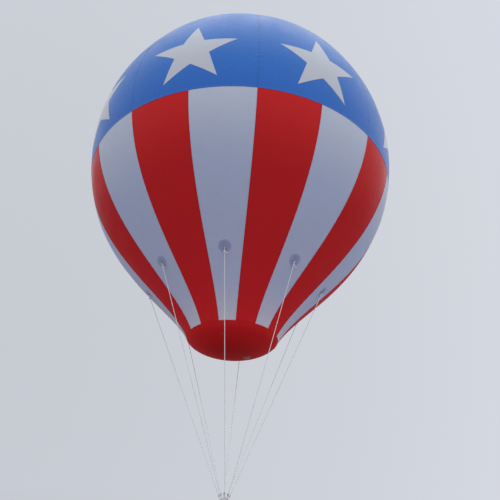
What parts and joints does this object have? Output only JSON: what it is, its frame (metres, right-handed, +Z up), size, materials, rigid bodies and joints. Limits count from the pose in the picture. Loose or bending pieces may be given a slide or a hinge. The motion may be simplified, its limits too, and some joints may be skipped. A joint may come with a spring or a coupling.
{
  "type": "helium advertising balloon",
  "caption": "Tethered helium advertising balloon with a starred crown, striped gores, a round cap, load patches, bridle lines, a gathering ring and a turning tether swivel.",
  "frame": {"origin": "centre of the envelope's widest circle, on its upright axis, about 60 mm above the centre of its volume, where the air's lift holds it up", "axes": "+Z up to the crown; -Y is the front, through the middle of white_gore_1; +X is to the right of someone looking at the front"},
  "size_m": [3.9952, 3.9952, 6.6747],
  "materials": {
    "pvc_white": "white PVC film, soft gloss, faint wrinkles at the welds",
    "pvc_red": "red PVC film, soft gloss",
    "pvc_blue": "blue PVC film, soft gloss",
    "load_patch": "reinforced PVC disc with sewn webbing, matt grey",
    "rope": "twisted white polyester rope",
    "webbing": "woven grey polyester webbing, sewn",
    "steel": "galvanised steel, dull",
    "valve_plastic": "moulded faded red plastic, satin"
  },
  "bodies": {
    "balloon": {"crown_panel_1": "pvc_blue", "crown_panel_2": "pvc_blue", "crown_panel_3": "pvc_blue", "crown_panel_4": "pvc_blue", "crown_panel_5": "pvc_blue", "crown_panel_6": "pvc_blue", "crown_panel_7": "pvc_blue", "crown_panel_8": "pvc_blue", "crown_disc": "pvc_blue", "star_1": "pvc_white", "star_2": "pvc_white", "star_3": "pvc_white", "star_4": "pvc_white", "star_5": "pvc_white", "star_6": "pvc_white", "star_7": "pvc_white", "star_8": "pvc_white", "white_gore_1": "pvc_white", "white_gore_2": "pvc_white", "white_gore_3": "pvc_white", "white_gore_4": "pvc_white", "white_gore_5": "pvc_white", "white_gore_6": "pvc_white", "white_gore_7": "pvc_white", "white_gore_8": "pvc_white", "red_gore_1": "pvc_red", "red_gore_2": "pvc_red", "red_gore_3": "pvc_red", "red_gore_4": "pvc_red", "red_gore_5": "pvc_red", "red_gore_6": "pvc_red", "red_gore_7": "pvc_red", "red_gore_8": "pvc_red", "bottom_cap": "pvc_red", "inflation_valve": "pvc_red", "valve_cap": "valve_plastic", "load_patch_1": "load_patch", "load_patch_2": "load_patch", "load_patch_3": "load_patch", "load_patch_4": "load_patch", "load_patch_5": "load_patch", "load_patch_6": "load_patch", "load_patch_7": "load_patch", "load_patch_8": "load_patch", "bridle_line_1": "rope", "bridle_line_2": "rope", "bridle_line_3": "rope", "bridle_line_4": "rope", "bridle_line_5": "rope", "bridle_line_6": "rope", "bridle_line_7": "rope", "bridle_line_8": "rope", "gathering_ring": "steel", "swivel_body": "steel"},
    "tether_swivel": {"swivel_eye": "steel"}
  },
  "joints": [
    {"name": "swivel_turn", "type": "hinge", "parent": "balloon", "child": "tether_swivel", "pos_m": [0, 0, -4.4517], "axis": [0, 0, 1], "continuous": true}
  ]
}
